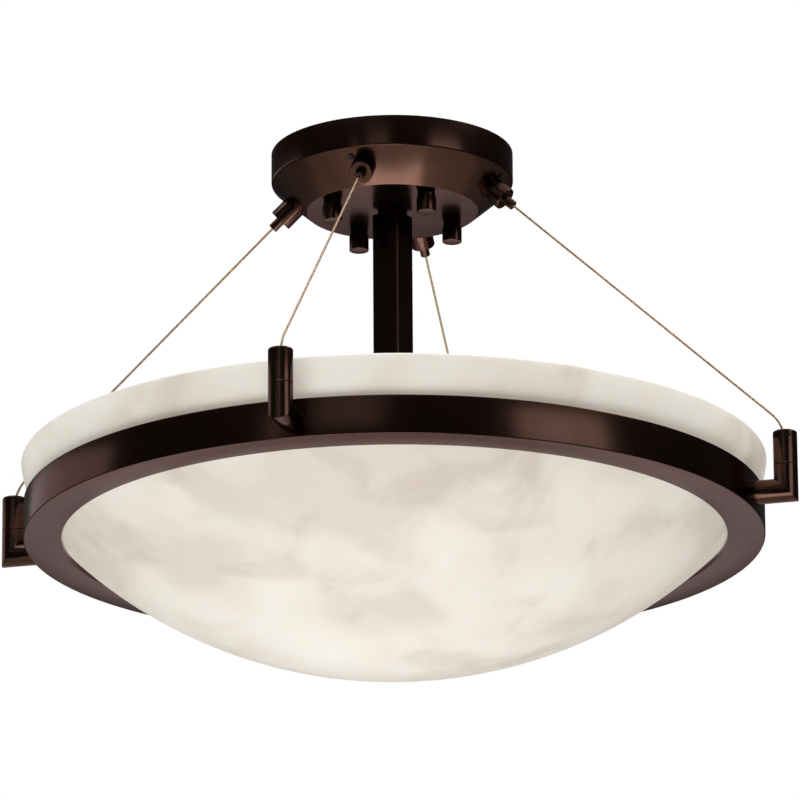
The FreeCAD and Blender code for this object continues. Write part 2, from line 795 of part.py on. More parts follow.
# ---------------------------------------------------------------- cable grips
def grip_piece(shape):
    """A shape drawn along +Z, laid along the grip's axis with z = 0 on the canopy shoulder."""
    return aimed(shape, grip_root, grip_axis)


def beside_grips(shape):
    """Copies of a shape drawn along +Z, set square on the canopy shoulder beside each grip."""
    laid = []
    for side, azimuth in SIDES.items():
        angle = math.radians(grip_screws_turned[side])
        place = grip_root + shoulder_up * grip_screw_reach * math.cos(angle)
        across = math.degrees(grip_screw_reach * math.sin(angle) / place.x)
        laid.append(at_azimuth(aimed(shape, place, shoulder_out), azimuth - across))
    return laid


def grip_screw_rods(radius, depth):
    return beside_grips(cylinder(radius, -depth, 0))


def grip_body():
    """Grip body that seats on the canopy shoulder, with a threaded shank through it."""
    c = grip_chamfer
    barrel = turned([(0, -grip_skirt_depth), (grip_radius, -grip_skirt_depth),
                     (grip_radius, grip_length - c), (grip_radius - c, grip_length), (0, grip_length)])
    barrel = grip_piece(barrel).cut(turned(canopy_outline + [(0, 0)]))
    shank = grip_piece(cylinder(grip_shank_radius, -grip_shank_length, grip_length / 2))
    body = barrel.fuse(shank)
    nose_bore = cylinder(grip_nose_radius + running_clearance,
                         grip_length - grip_nose_root_length - grip_nose_travel - grip_spring_room,
                         grip_length)
    cable_bore = cylinder(cable_radius + cable_clearance, -grip_shank_length, grip_length)
    return body.cut([grip_piece(nose_bore), grip_piece(cable_bore)]).removeSplitter()


def grip_screws():
    """Socket screws through the canopy shoulder into the wedge washers."""
    top = grip_screw_head_height
    head = cylinder(grip_screw_head_radius, 0, top)
    head = head.makeFillet(grip_screw_head_round, circle_edges(head, grip_screw_head_radius, top))
    key = hex_bar(grip_screw_key_flats, grip_screw_key_depth)
    key.translate(UP * (top - grip_screw_key_depth))
    screw = head.fuse(cylinder(grip_screw_radius, -grip_screw_length, 0)).cut(key)
    return beside_grips(screw.removeSplitter())


def grip_nose():
    """Nose that is pressed into the grip to free the cable."""
    tip = grip_length + grip_nose_length
    root = grip_length - grip_nose_root_length
    r = grip_nose_radius
    c = grip_chamfer
    nose = turned([(0, root), (r, root), (r, tip - c), (r - c, tip), (0, tip)])
    return grip_piece(nose.cut(cylinder(cable_radius + cable_clearance, root, tip)))


def grip_washers():
    """Wedge washers between the sloping canopy wall and the nuts."""
    blank = grip_piece(pipe_section(grip_washer_radius, grip_shank_radius + hole_clearance,
                                    -canopy_gauge - grip_washer_gauge, grip_length))
    washers = on_every(SIDES, blank.common(canopy_inside()))
    through = canopy_gauge + grip_washer_gauge + grip_washer_radius
    rods = grip_screw_rods(grip_screw_radius + thread_clearance, through)
    return [washer.cut(rod_through) for washer, rod_through in zip(washers, rods)]


def grip_nuts():
    nut = hex_nut(grip_nut_flats, grip_nut_height, grip_shank_radius + thread_clearance)
    nut.translate(DOWN * (canopy_gauge + grip_washer_gauge + grip_nut_height))
    return on_every(SIDES, grip_piece(nut))


# ---------------------------------------------------------------- wiring
def lead_route(s):
    """Corners of the lead on the left, s = -1, or on the right, s = 1, from the stem to its connector."""
    return [Vector(s * lead_reach, 0, stem_bottom_z),
            Vector(s * lead_reach, 0, lead_knee_z),
            Vector(s * connector_reach, 0, lead_knee_z)]


def leads():
    """Two supply leads that come up the stem and turn outwards to their connectors."""
    return [swept(rounded_path(lead_route(s)), lead_radius) for s in (-1, 1)]


def connectors():
    """Screw-on wire connectors at the ends of the leads."""
    cone = Part.makeCone(connector_radius, connector_tip_radius, connector_length)
    laid = []
    for s in (-1, 1):
        knee, mouth = lead_route(s)[1:]
        laid.append(aimed(cone, mouth, mouth - knee))
    return laid


def ground_screw():
    """Slotted screw under the ceiling plate for the earth wire."""
    top = -plate_gauge
    low = top - ground_screw_head_height
    screw = cylinder(ground_screw_head_radius, low, top).fuse(cylinder(ground_screw_radius, top, 0))
    drive = Part.makeBox(2 * ground_screw_head_radius, ground_screw_drive, ground_screw_drive,
                         Vector(-ground_screw_head_radius, -ground_screw_drive / 2, low))
    screw = screw.cut(drive)
    screw.translate(radial(ground_screw_circle_radius, 0))
    return at_azimuth(screw, ground_screw_azimuth)


# ---------------------------------------------------------------- assembly
def all_pieces():
    """Every sub-part by name: a solid, or a list of solids for a group of like fasteners."""
    pieces = {
        "ceiling_plate": ceiling_plate(),
        "canopy_pan": canopy_pan(),
        "canopy_studs": studs(),
        "stud_nuts": stud_nuts(),
        "stem_nipples": nipples(),
        "stem_nuts": stem_nuts(),
        "stem_washer": stem_washer(),
        "stem_collar": stem_collar(),
        "stem_tube": stem_tube(),
        "stem_plugs": stem_plugs(),
        "lamp_hub_cup": hub_cup(),
        "lamp_hub_lid": hub_lid(),
        "lamp_hub_finial": hub_finial(),
        "socket_nuts": socket_nuts(),
        "bowl_ring": ring(),
        "bowl_gasket": bowl_gasket(),
        "bowl": bowl(),
        "elbow_screws": elbow_screws(),
        "cap_set_screws": cap_screws(),
        "cable_tails": cable_tails(),
        "cable_ferrules": ferrules(),
        "grip_screws": grip_screws(),
        "grip_washers": grip_washers(),
        "grip_nuts": grip_nuts(),
        "supply_leads": leads(),
        "wire_connectors": connectors(),
        "ground_screw": ground_screw(),
    }
    knob = thumb_nut()
    for corner, azimuth in CORNERS.items():
        pieces[f"thumb_nut_{corner}"] = at_azimuth(knob, azimuth)
    lamp = {
        "lamp_socket": lamp_socket(),
        "bulb_base": bulb_base(),
        "bulb_glass": bulb_glass(),
    }
    suspension = {
        "post_elbow": post_elbow(),
        "cable": cable(),
        "grip_body": grip_body(),
        "grip_nose": grip_nose(),
    }
    for places, repeated in ((LAMPS, lamp), (SIDES, suspension)):
        for place, azimuth in places.items():
            for name, shape in repeated.items():
                pieces[f"{name}_{place}"] = at_azimuth(shape, azimuth)
    for side, azimuth in SIDES.items():
        pieces[f"post_cap_{side}"] = at_azimuth(post_cap(side), azimuth)
    return pieces


def main():
    os.makedirs("parts", exist_ok=True)
    for name, shape in all_pieces().items():
        solids = shape if isinstance(shape, list) else shape.Solids
        whole = solids[0] if len(solids) == 1 else Part.makeCompound(solids)
        valid = all(s.isValid() and s.Volume > 0 for s in whole.Solids)
        volume = whole.Volume / CUBIC_MM_PER_CM
        print(f"{name}: {len(whole.Solids)} solid(s), valid {valid}, {volume:.2f} cm3")
        whole.exportStep(f"parts/{name}.step")


if __name__ == "__main__":
    main()
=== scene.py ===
"""Looks of the semi flush ceiling light: finishes, turned and bent pieces, twisted cables, studio.

Metres.  The ceiling is the plane z = 0, the light hangs below it round the Z axis, and the four
posts stand on the X and Y axes.  Pieces that repeat are drawn once on the +X side and turned.
"""
import json
import math

import bmesh
import bpy
from mathutils import Matrix, Vector


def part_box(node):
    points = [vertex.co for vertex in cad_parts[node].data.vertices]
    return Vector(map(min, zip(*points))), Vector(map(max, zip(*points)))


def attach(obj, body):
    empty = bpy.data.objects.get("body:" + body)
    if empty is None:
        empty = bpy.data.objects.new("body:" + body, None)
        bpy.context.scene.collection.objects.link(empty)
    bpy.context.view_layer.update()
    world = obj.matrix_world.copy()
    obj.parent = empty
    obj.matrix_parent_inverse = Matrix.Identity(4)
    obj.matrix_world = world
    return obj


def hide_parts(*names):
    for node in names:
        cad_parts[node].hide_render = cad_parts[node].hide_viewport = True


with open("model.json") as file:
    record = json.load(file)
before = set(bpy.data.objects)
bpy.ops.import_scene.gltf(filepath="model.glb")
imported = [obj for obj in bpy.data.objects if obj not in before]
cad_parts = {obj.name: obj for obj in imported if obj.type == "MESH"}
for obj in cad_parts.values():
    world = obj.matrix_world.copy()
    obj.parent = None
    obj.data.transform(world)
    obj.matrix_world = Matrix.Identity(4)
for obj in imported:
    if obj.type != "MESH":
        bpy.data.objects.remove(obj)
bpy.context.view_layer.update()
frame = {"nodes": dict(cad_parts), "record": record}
NODES = frame["nodes"]
MM = 0.001
WELD = 1e-7             # corners of a mesh nearer than this become one
SLIVER = 1e-8           # faces thinner than this go
NEAR = 1e-6
SMOOTH_ANGLE = 38       # degrees: an edge that turns more stays sharp
FULL_WEAR_ANGLE = 45    # degrees: an edge that turns this much wears most
LAMP_AXIS = Vector((1, 0, 0))

# azimuths in degrees from +X; a cap's screw is counted from its post's outward side
SIDES = {"front": -90.0, "right": 0.0, "back": 90.0, "left": 180.0}
CORNERS = {"front_right": -45.0, "back_right": 45.0, "back_left": 135.0, "front_left": -135.0}
LAMPS = {"front": -90.0, "right": 30.0, "left": 150.0}
CAP_SCREWS = {"front": 150.0, "right": -58.0, "back": 130.0, "left": 68.0}


# ---------------------------------------------------------------- places read from the frame
def low(node):
    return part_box(node)[0]


def high(node):
    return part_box(node)[1]


canopy_radius = high("canopy_pan").x
canopy_face_z = low("canopy_pan").z
canopy_wall_height = 20.5 * MM
canopy_face_radius = 57.5 * MM
canopy_gauge = 1.5 * MM

ring_radius = high("bowl_ring").x
ring_top_z = high("bowl_ring").z
ring_bottom_z = low("bowl_ring").z
ring_wall = 3.0 * MM
ring_flange_width = 25.0 * MM
ring_flange_gauge = 3.0 * MM

bowl_bottom_z = low("bowl").z
bowl_rim_z = high("bowl").z
bowl_dome_radius = 318.5 * MM
bowl_shoulder_radius = 72.0 * MM
bowl_widest_radius = 247.4 * MM
bowl_wall = 6.0 * MM

post_radius = 7.95 * MM
post_top_z = high("post_cap_right").z
post_seam_z = low("post_cap_right").z
post_place = high("post_cap_right").x - post_radius
arm_z = (ring_top_z + ring_bottom_z) / 2

stem_width = 20.0 * MM
stem_turn = -16.5
stem_top_z = high("stem_tube").z
stem_bottom_z = low("stem_tube").z

hub_radius = high("lamp_hub_cup").x
lamp_z = (low("bulb_glass_right").z + high("bulb_glass_right").z) / 2
socket_start = hub_radius - 2.0 * MM
bulb_start = socket_start + 45.0 * MM

# the cable's route on the +X side: nose of the grip, bend over the post, roof of the cap
CABLE_ROUTE = [
    (0.083855, 0, -0.044070),
    (0.252009, 0, -0.200844),
    (0.260493, 0, -0.208754),
    (0.265100, 0, -0.219400),
    (0.265100, 0, -0.227800),
]
cable_radius = 0.8 * MM
grip_root = Vector((69.3, 0, -30.5)) * MM
nose_tip = Vector(CABLE_ROUTE[0])
grip_axis = (nose_tip - grip_root).normalized()
grip_length = 12.4 * MM


# ---------------------------------------------------------------- mesh helpers
def finished(name, bm, material, body, nodes=(), smooth=SMOOTH_ANGLE):
    """Turns a bmesh into a piece with its material, body and the nodes it stands for."""
    bmesh.ops.remove_doubles(bm, verts=bm.verts, dist=WELD)
    bmesh.ops.recalc_face_normals(bm, faces=bm.faces)
    mesh = bpy.data.meshes.new(name)
    bm.to_mesh(mesh)
    bm.free()
    mesh.shade_smooth()
    mesh.set_sharp_from_angle(angle=math.radians(smooth))
    return placed(name, mesh, material, body, nodes)


def placed(name, mesh, material, body, nodes=()):
    """Puts a mesh into the scene as a piece that rides on a body."""
    mark_edges(mesh)
    piece = bpy.data.objects.new(name, mesh)
    bpy.context.scene.collection.objects.link(piece)
    mesh.materials.clear()
    mesh.materials.append(MATERIALS[material])
    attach(piece, body)
    if nodes:
        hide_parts(*nodes)
    return piece


def mark_edges(mesh):
    """Stores how sharply the surface turns at each corner, for wear along the edges."""
    bm = bmesh.new()
    bm.from_mesh(mesh)
    layer = bm.verts.layers.float.new("edge_turn")
    for vert in bm.verts:
        turns = [e.calc_face_angle(0.0) for e in vert.link_edges]
        vert[layer] = min(1.0, max(turns, default=0.0) / math.radians(FULL_WEAR_ANGLE))
    bm.to_mesh(mesh)
    bm.free()


def rounded(outline, steps=5):
    """Outline of (radius, z, rounding) corners with an arc of that rounding at each corner."""
    points = []
    count = len(outline)
    for k, (r, z, rounding) in enumerate(outline):
        here = Vector((r, z))
        if rounding == 0:
            points.append(here)
            continue
        before = (Vector(outline[k - 1][:2]) - here).normalized()
        after = (Vector(outline[(k + 1) % count][:2]) - here).normalized()
        half = before.angle(after) / 2
        reach = rounding / math.tan(half)
        centre = here + (before + after).normalized() * rounding / math.sin(half)
        first = here + before * reach - centre
        last = here + after * reach - centre
        swing = first.angle_signed(last)
        for s in range(steps + 1):
            a = -swing * s / steps
            turned = Vector((first.x * math.cos(a) - first.y * math.sin(a),
                             first.x * math.sin(a) + first.y * math.cos(a)))
            points.append(centre + turned)
    return points


def lathe(points, segments=96, closed=True):
    """Surface of revolution round Z of (radius, z) points."""
    bm = bmesh.new()
    verts = [bm.verts.new((p[0], 0, p[1])) for p in points]
    pairs = list(zip(verts, verts[1:]))
    if closed:
        pairs.append((verts[-1], verts[0]))
    edges = [bm.edges.new(pair) for pair in pairs]
    bmesh.ops.spin(bm, geom=verts + edges, cent=(0, 0, 0), axis=(0, 0, 1), angle=math.tau,
                   steps=segments, use_merge=True, use_duplicate=False)
    bmesh.ops.remove_doubles(bm, verts=bm.verts, dist=WELD)
    bmesh.ops.dissolve_degenerate(bm, edges=bm.edges, dist=SLIVER)
    return bm


def loft(bm, loops):
    """Skin of quads between loops of points, with flat ends."""
    rows = [[bm.verts.new(p) for p in loop] for loop in loops]
    for row, following in zip(rows, rows[1:]):
        for k in range(len(row)):
            n = (k + 1) % len(row)
            bm.faces.new((row[k], row[n], following[n], following[k]))
    bm.faces.new(list(reversed(rows[0])))
    bm.faces.new(rows[-1])


def turn(azimuth):
    return Matrix.Rotation(math.radians(azimuth), 4, "Z")


def aim(start, direction):
    """Matrix that takes +Z to a direction and the origin to a start."""
    return Matrix.Translation(start) @ direction.to_track_quat("Z", "Y").to_matrix().to_4x4()


def move(bm, *matrices):
    for matrix in matrices:
        bm.transform(matrix)
    return bm


def rod(radius, length, segments=24):
    return lathe([(0, 0), (radius, 0), (radius, length), (0, length)], segments, closed=False)


def carve(piece, cutter_bm):
    """Cuts a closed shape out of a piece."""
    mesh = bpy.data.meshes.new("cutter")
    bmesh.ops.recalc_face_normals(cutter_bm, faces=cutter_bm.faces)
    cutter_bm.to_mesh(mesh)
    cutter_bm.free()
    cutter = bpy.data.objects.new("cutter", mesh)
    bpy.context.scene.collection.objects.link(cutter)
    cut = piece.modifiers.new("cut", "BOOLEAN")
    cut.operation = "DIFFERENCE"
    cut.solver = "EXACT"
    cut.object = cutter
    bpy.context.view_layer.update()
    graph = bpy.context.evaluated_depsgraph_get()
    result = bpy.data.meshes.new_from_object(piece.evaluated_get(graph))
    piece.modifiers.clear()
    old = piece.data
    piece.data = result
    bpy.data.objects.remove(cutter)
    bpy.data.meshes.remove(mesh)
    bpy.data.meshes.remove(old)
    result.shade_smooth()
    result.set_sharp_from_angle(angle=math.radians(SMOOTH_ANGLE))
    mark_edges(result)


# ---------------------------------------------------------------- material helpers
class Finish:
    """A material under construction: a shader with its pattern nodes."""

    def __init__(self, name):
        self.material = bpy.data.materials.new(name)
        self.material.use_nodes = True
        self.nodes = self.material.node_tree.nodes
        self.links = self.material.node_tree.links
        self.nodes.clear()
        self.output = self.nodes.new("ShaderNodeOutputMaterial")
        self.shader = self.nodes.new("ShaderNodeBsdfPrincipled")
        self.links.new(self.shader.outputs[0], self.output.inputs[0])
        self.place = self.nodes.new("ShaderNodeTexCoord").outputs["Object"]

    def set(self, **values):
        for name, value in values.items():
            self.shader.inputs[name.replace("_", " ")].default_value = value
        return self

    def join(self, source, socket):
        self.links.new(source, socket)

    def stretched(self, scale):
        """Object coordinates stretched by a different factor along each axis."""
        node = self.nodes.new("ShaderNodeMapping")
        node.inputs["Scale"].default_value = scale
        self.join(self.place, node.inputs["Vector"])
        return node.outputs[0]

    def noise(self, scale, detail=4.0, rough=0.5, warp=0.0, place=None):
        node = self.nodes.new("ShaderNodeTexNoise")
        node.inputs["Scale"].default_value = scale
        node.inputs["Detail"].default_value = detail
        node.inputs["Roughness"].default_value = rough
        node.inputs["Distortion"].default_value = warp
        self.join(place or self.place, node.inputs["Vector"])
        return node.outputs["Fac"]

    def attribute(self, name):
        node = self.nodes.new("ShaderNodeAttribute")
        node.attribute_name = name
        return node.outputs["Fac"]

    def ramp(self, source, *stops):
        """Colours or grey levels at positions along a source."""
        node = self.nodes.new("ShaderNodeValToRGB")
        while len(node.color_ramp.elements) < len(stops):
            node.color_ramp.elements.new(0.5)
        for element, (position, colour) in zip(node.color_ramp.elements, stops):
            element.position = position
            if isinstance(colour, (int, float)):
                colour = (colour, colour, colour)
            element.color = (*colour, 1)
        self.join(source, node.inputs[0])
        return node.outputs[0]

    def mix(self, factor, first, second, blend="MIX"):
        """Mix of two colours; its sockets are found by number, as several share a name."""
        factor_in, first_in, second_in, result_out = 0, 6, 7, 2
        node = self.nodes.new("ShaderNodeMix")
        node.data_type = "RGBA"
        node.blend_type = blend
        for value, number in ((factor, factor_in), (first, first_in), (second, second_in)):
            socket = node.inputs[number]
            if isinstance(value, bpy.types.NodeSocket):
                self.join(value, socket)
            elif isinstance(value, (int, float)):
                socket.default_value = value
            else:
                socket.default_value = (*value, 1)
        return node.outputs[result_out]

    def scaled(self, source, low_value, high_value):
        node = self.nodes.new("ShaderNodeMapRange")
        node.inputs["To Min"].default_value = low_value
        node.inputs["To Max"].default_value = high_value
        self.join(source, node.inputs["Value"])
        return node.outputs[0]

    def bump(self, source, strength, depth):
        node = self.nodes.new("ShaderNodeBump")
        node.inputs["Strength"].default_value = strength
        node.inputs["Distance"].default_value = depth
        self.join(source, node.inputs["Height"])
        self.join(node.outputs[0], self.shader.inputs["Normal"])

    def colour(self, source):
        self.join(source, self.shader.inputs["Base Color"])

    def roughness(self, source):
        self.join(source, self.shader.inputs["Roughness"])


def dark_bronze():
    """Satin dark bronze, a little warmer where the finish is thin on the edges."""
    f = Finish("dark_bronze").set(Metallic=1.0, Specular_Tint=(0.72, 0.65, 0.66, 1))
    cloud = f.noise(38, 5, 0.55, 0.4)
    tone = f.ramp(cloud, (0.3, (0.054, 0.028, 0.021)), (0.7, (0.068, 0.035, 0.026)))
    wear = f.ramp(f.attribute("edge_turn"), (0.12, 0.0), (0.9, 0.3))
    patchy = f.mix(1.0, wear, f.ramp(f.noise(260, 3), (0.35, 0.35), (0.65, 1.0)), "MULTIPLY")
    f.colour(f.mix(patchy, tone, (0.14, 0.074, 0.052)))
    fine = f.noise(1500, 3, 0.6)
    f.roughness(f.scaled(f.noise(120, 4, 0.6), 0.17, 0.24))
    f.bump(fine, 0.08, 0.00004)
    return f.material


def alabaster():
    """Honed stone that light comes through: warm ivory with soft grey-beige clouds and faint veins, and a
    painted glow that lifts its shade.
    """
    # the emission strength is a painted glow: the stone is no lamp, and the glow brightens the shade on the
    # bowl over the ring
    f = Finish("alabaster").set(IOR=1.5, Subsurface_Weight=0.2, Subsurface_Scale=0.01,
                                Emission_Strength=0.34)
    f.shader.inputs["Subsurface Radius"].default_value = (1.0, 0.82, 0.6)
    broad = f.noise(9.0, 4, 0.48, 0.5)
    small = f.noise(15, 5, 0.55, 0.9, f.stretched((1.0, 1.0, 1.6)))
    base = f.ramp(broad, (0.38, (0.71, 0.665, 0.60)), (0.50, (0.80, 0.77, 0.71)),
                  (0.62, (0.83, 0.81, 0.76)))
    clouds = f.ramp(small, (0.32, (0.86, 0.83, 0.79)), (0.50, (1.0, 1.0, 1.0)))
    tone = f.mix(0.7, base, clouds, "MULTIPLY")
    drift = f.noise(6, 3, 0.5, 1.2, f.stretched((1.0, 1.0, 2.4)))
    vein = f.ramp(drift, (0.485, 0.0), (0.50, 0.08), (0.515, 0.0))
    figure = f.mix(vein, tone, (0.66, 0.61, 0.55))
    f.colour(figure)
    # painted glow: the stone's own colour, warmed, is emitted so the bowl's shaded parts look lit
    f.join(f.mix(1.0, figure, (1.0, 0.95, 0.87), "MULTIPLY"), f.shader.inputs["Emission Color"])
    f.roughness(f.scaled(f.noise(60, 4), 0.34, 0.46))
    f.bump(f.noise(420, 4, 0.6), 0.06, 0.0002)
    return f.material


def steel_cable():
    """Copper-toned wires, paler where the twist has rubbed them."""
    f = Finish("steel_cable").set(Metallic=0.8)
    tone = f.ramp(f.noise(900, 3), (0.3, (0.34, 0.22, 0.13)), (0.7, (0.52, 0.365, 0.235)))
    f.colour(tone)
    f.roughness(f.scaled(f.noise(1400, 2), 0.36, 0.50))
    f.bump(f.noise(5200, 2), 0.12, 0.00002)
    return f.material


def plated_steel(name, dark, light, low_rough=0.28, high_rough=0.45):
    """Plated or blackened metal with a fine uneven tone."""
    spangle = 420
    f = Finish(name).set(Metallic=1.0)
    f.colour(f.ramp(f.noise(spangle, 5, 0.6), (0.3, dark), (0.7, light)))
    f.roughness(f.scaled(f.noise(spangle * 2, 3), low_rough, high_rough))
    f.bump(f.noise(spangle * 5, 3), 0.08, 0.00003)
    return f.material


def painted(name, dark, light):
    """Coloured plastic with a fine grain."""
    rough = 0.4
    f = Finish(name)
    f.colour(f.ramp(f.noise(240, 4), (0.3, dark), (0.7, light)))
    f.roughness(f.scaled(f.noise(500, 3), rough * 0.85, rough * 1.15))
    f.bump(f.noise(1700, 3), 0.08, 0.00003)
    return f.material


def felt():
    """Dark matted fibre."""
    f = Finish("gasket_felt").set(Sheen_Weight=0.4)
    fibre = f.noise(2600, 4, 0.7)
    f.colour(f.ramp(fibre, (0.3, (0.02, 0.017, 0.015)), (0.7, (0.07, 0.06, 0.052))))
    f.roughness(f.scaled(fibre, 0.85, 1.0))
    f.bump(fibre, 0.5, 0.0002)
    return f.material


def porcelain():
    """Glazed off-white lamp porcelain."""
    f = Finish("porcelain").set(IOR=1.5, Coat_Weight=0.6, Coat_Roughness=0.08)
    f.colour(f.ramp(f.noise(90, 4), (0.3, (0.76, 0.73, 0.67)), (0.7, (0.84, 0.82, 0.77))))
    f.roughness(f.scaled(f.noise(300, 3), 0.14, 0.22))
    f.bump(f.noise(160, 3), 0.05, 0.0002)
    return f.material


def frosted_glass():
    """White bulb glass, frosted inside, drawn as an opaque skin."""
    f = Finish("bulb_glass").set(IOR=1.45)
    f.colour(f.ramp(f.noise(70, 3), (0.3, (0.83, 0.83, 0.81)), (0.7, (0.90, 0.90, 0.88))))
    f.roughness(f.scaled(f.noise(1200, 3), 0.32, 0.42))
    f.bump(f.noise(2600, 3), 0.05, 0.00003)
    return f.material


MATERIALS = {
    "dark_bronze": dark_bronze(),
    "alabaster": alabaster(),
    "steel_cable": steel_cable(),
    "zinc_plate": plated_steel("zinc_plate", (0.50, 0.50, 0.47), (0.68, 0.67, 0.62)),
    "black_screw": plated_steel("black_screw", (0.018, 0.016, 0.015), (0.045, 0.04, 0.037)),
    "ferrule_metal": plated_steel("ferrule_metal", (0.55, 0.54, 0.52), (0.70, 0.69, 0.67)),
    "lead_insulation": painted("lead_insulation", (0.018, 0.018, 0.018), (0.032, 0.032, 0.032)),
    "connector_plastic": painted("connector_plastic", (0.62, 0.20, 0.03), (0.74, 0.27, 0.05)),
    "green_screw": plated_steel("green_screw", (0.03, 0.20, 0.07), (0.06, 0.33, 0.12)),
    "gasket_felt": felt(),
    "porcelain": porcelain(),
    "bulb_metal": plated_steel("bulb_metal", (0.60, 0.58, 0.54), (0.76, 0.74, 0.70), 0.2, 0.34),
    "bulb_glass": frosted_glass(),
}


def dress_nodes():
    """Gives every node its material slot's finish; pieces below stand for the visible ones."""
    for entry in frame["record"]["subparts"]:
        mesh = NODES[entry["node"]].data
        mesh.materials.clear()
        mesh.materials.append(MATERIALS[entry["material_slot"]])


# ---------------------------------------------------------------- canopy and what it carries
def canopy():
    """Pan pressed from sheet: straight wall, sloping shoulder and flat face, open to the ceiling."""
    c, w, g = canopy_radius, -canopy_wall_height, canopy_gauge
    rim_soft, shoulder_soft, face_soft = 0.2 * MM, 2.0 * MM, 1.0 * MM
    knee_soft, inside_soft = 0.6 * MM, 1.0 * MM
    face = canopy_face_z
    slope = (w - face) / (c - canopy_face_radius)
    inner_drop = g * math.sqrt(1 + slope * slope)
    bore = 5.1 * MM

    def inner_z(r):
        return w + (r - c) * slope + inner_drop

    knee = canopy_face_radius - (inner_drop - g) / slope
    outline = [
        (c, 0, rim_soft), (c, w, shoulder_soft), (canopy_face_radius, face, face_soft), (bore, face, 0),
        (bore, face + g, 0), (knee, face + g, knee_soft), (c - g, inner_z(c - g), inside_soft),
        (c - g, 0, rim_soft)]
    finished("canopy", lathe(rounded(outline), segments=160), "dark_bronze", "fixture", ["canopy_pan"])


def thumb_nut(corner, azimuth):
    """Round thumb nut with a narrower neck against the canopy's face."""
    node = f"thumb_nut_{corner}"
    neck, neck_length, head, soft = 5.85 * MM, 3.2 * MM, 6.55 * MM, 0.45 * MM
    from_axis = 46.0 * MM
    top, shoulder, bottom = canopy_face_z, canopy_face_z - neck_length, low(node).z
    outline = [(0, top, 0), (neck, top, 0), (neck, shoulder, 0), (head, shoulder, soft),
               (head, bottom, soft), (0, bottom, 0)]
    bm = lathe(rounded(outline, steps=4), segments=64, closed=False)
    move(bm, Matrix.Translation((from_axis, 0, 0)), turn(azimuth))
    finished(node + "_turned", bm, "dark_bronze", node, [node])


def grip_laid(bm, azimuth):
    """Lays a turned piece along the axis of a grip."""
    return move(bm, aim(grip_root, grip_axis), turn(azimuth))


def grip(side, azimuth):
    """Grip barrel and its spring-loaded nose."""
    radius, length, root = 7.95 * MM, grip_length, -2.2 * MM
    bore, bore_floor = 3.25 * MM, 2.0 * MM
    soft, bore_soft = 0.5 * MM, 0.15 * MM
    outline = [(radius, root, 0), (radius, length, soft), (bore, length, bore_soft),
               (bore, bore_floor, 0), (0, bore_floor, 0), (0, root, 0)]
    bm = grip_laid(lathe(rounded(outline, steps=4), segments=72, closed=False), azimuth)
    finished(f"grip_{side}", bm, "dark_bronze", "fixture", [f"grip_body_{side}"])
    nose, hole = 3.2 * MM, 1.0 * MM
    nose_out, nose_in = 7.5 * MM, 6.6 * MM
    tip, tail = length + nose_out, length - nose_in
    nose_soft, hole_soft = 0.4 * MM, 0.2 * MM
    outline = [(nose, tail, 0), (nose, tip, nose_soft), (hole, tip, hole_soft), (hole, tail, 0)]
    bm = grip_laid(lathe(rounded(outline, steps=4), segments=48), azimuth)
    finished(f"grip_nose_{side}_turned", bm, "dark_bronze", f"grip_nose_{side}", [f"grip_nose_{side}"])


def stem():
    """Square tube with rounded edges, and its collar under the canopy."""
    edge_soft, edge_steps = 1.5 * MM, 5
    level = 0.9  # cosine: a face that looks up or down more than this is an end
    bm = bmesh.new()
    bmesh.ops.create_cube(bm, size=1.0)
    height = stem_top_z - stem_bottom_z
    bm.transform(Matrix.Diagonal((stem_width, stem_width, height, 1)))
    upright = [e for e in bm.edges if abs(e.verts[0].co.z - e.verts[1].co.z) > height / 2]
    bmesh.ops.bevel(bm, geom=upright, offset=edge_soft, segments=edge_steps, profile=0.5,
                    affect="EDGES", material=-1)
    ends = [f for f in bm.faces if abs(f.normal.z) > level]
    bmesh.ops.delete(bm, geom=ends, context="FACES")
    bm.transform(Matrix.Translation((0, 0, (stem_top_z + stem_bottom_z) / 2)))
    move(bm, turn(stem_turn))
    finished("stem_square_tube", bm, "dark_bronze", "fixture", ["stem_tube"])
    collar, collar_bore = 9.85 * MM, stem_width / 2 * 0.6
    foot_soft, seat_soft = 0.5 * MM, 0.3 * MM
    outline = [(collar_bore, stem_top_z, 0), (collar, stem_top_z, foot_soft),
               (collar, canopy_face_z, seat_soft), (collar_bore, canopy_face_z, 0)]
    bm = lathe(rounded(outline, steps=4), segments=72)
    finished("stem_collar_turned", bm, "dark_bronze", "fixture", ["stem_collar"])


# ---------------------------------------------------------------- ring, bowl and posts
def ring():
    """Rolled ring of L section: upright wall outside, flange inside at its foot."""
    inner = ring_radius - ring_flange_width
    wall = ring_radius - ring_wall
    shelf = ring_bottom_z + ring_flange_gauge
    soft, foot_soft, shelf_soft, root_soft = 0.7 * MM, 0.4 * MM, 0.3 * MM, 0.5 * MM
    outline = [(ring_radius, ring_top_z, soft), (ring_radius, ring_bottom_z, soft),
               (inner, ring_bottom_z, foot_soft), (inner, shelf, shelf_soft), (wall, shelf, root_soft),
               (wall, ring_top_z, soft)]
    bm = lathe(rounded(outline), segments=256)
    finished("ring_rolled", bm, "dark_bronze", "fixture", ["bowl_ring"])


